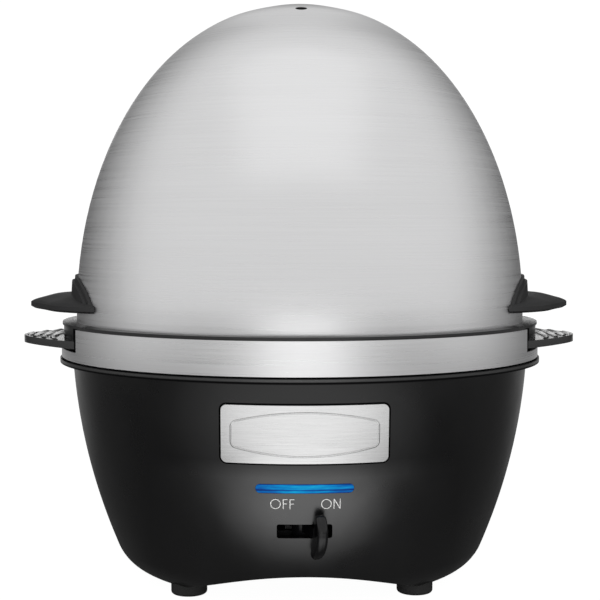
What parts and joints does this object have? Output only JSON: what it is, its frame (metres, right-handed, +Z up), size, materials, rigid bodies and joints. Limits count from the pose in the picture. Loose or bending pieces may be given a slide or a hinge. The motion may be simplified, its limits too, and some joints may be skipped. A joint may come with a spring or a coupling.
{
  "type": "electric egg cooker",
  "caption": "Electric egg cooker with an egg-shaped steel lid, black bowl base, ribbed rack handles, steel band, indicator light and pivoting lever switch.",
  "frame": {"origin": "on the floor plane under the cooker's vertical axis, at the centre of the four feet", "axes": "+Z up along the lid's axis, the front with the lever and light faces -Y, +X to the right seen from the front"},
  "size_m": [0.2188, 0.1888, 0.2227],
  "materials": {
    "base_housing": "satin black moulded plastic",
    "upper_frame": "satin black moulded plastic",
    "screws": "zinc plated steel",
    "brushed_steel": "stainless steel brushed round the axis",
    "seal": "grey silicone",
    "pan": "cast aluminium with a grey non-stick coat",
    "element": "dark oxidised tube",
    "terminals": "plated brass",
    "shield": "bright sheet",
    "thermostat": "dark phenolic case",
    "spring_steel": "spring steel",
    "inner_plastic": "black moulded plastic",
    "circuit_board": "green laminate",
    "light_emitters": "clear blue lamp bodies",
    "light_lens": "translucent blue, lit from behind",
    "badge_plate": "satin nickel plate",
    "feet": "black rubber",
    "gland": "black rubber grommet",
    "terminal_block": "white plastic",
    "lever": "black moulded plastic",
    "rack": "glossy black moulded plastic",
    "lid_handles": "satin black moulded plastic",
    "washers": "black silicone"
  },
  "bodies": {
    "base": {"base_housing": "base_housing", "upper_frame": "upper_frame", "frame_screws": "screws", "steel_band": "brushed_steel", "pan_seal": "seal", "heating_pan": "pan", "heating_element": "element", "element_terminals": "terminals", "heat_shield": "shield", "shield_nuts": "screws", "thermostat": "thermostat", "thermostat_clip": "spring_steel", "thermal_fuse": "terminals", "fuse_clip": "spring_steel", "switch_bracket": "inner_plastic", "bracket_screws": "screws", "lever_pin": "spring_steel", "switch_body": "inner_plastic", "light_board": "circuit_board", "light_leds": "light_emitters", "board_screws": "screws", "light_lens": "light_lens", "badge_plate": "badge_plate", "bottom_cover": "inner_plastic", "cover_screws": "screws", "foot_front_left": "feet", "foot_front_right": "feet", "foot_rear_left": "feet", "foot_rear_right": "feet", "foot_screws": "screws", "cord_gland": "gland", "gland_nut": "inner_plastic", "terminal_block": "terminal_block"},
    "lever": {"switch_lever": "lever"},
    "slider": {"switch_slider": "terminal_block"},
    "rack": {"egg_rack": "rack"},
    "lid": {"lid_dome": "brushed_steel", "lid_handle_left": "lid_handles", "lid_handle_right": "lid_handles", "lid_handle_screws": "screws", "lid_handle_washers": "washers"}
  },
  "joints": [
    {"name": "rack_lift", "type": "slide", "parent": "base", "child": "rack", "axis": [0, 0, 1], "range_m": [0, 0.06]},
    {"name": "lid_lift", "type": "slide", "parent": "rack", "child": "lid", "axis": [0, 0, 1], "range_m": [0, 0.13]},
    {"name": "lever_pivot", "type": "hinge", "parent": "base", "child": "lever", "pos_m": [0, -0.0674, 0.0313], "axis": [0, 0, 1], "range_deg": [-37, 0]},
    {"name": "slider_slide", "type": "slide", "parent": "base", "child": "slider", "axis": [1, 0, 0], "range_m": [0, 0.00602]}
  ],
  "couplings": [
    {"joint": "slider_slide", "follows": "lever_pivot", "m_per_rad": -0.0093264}
  ]
}
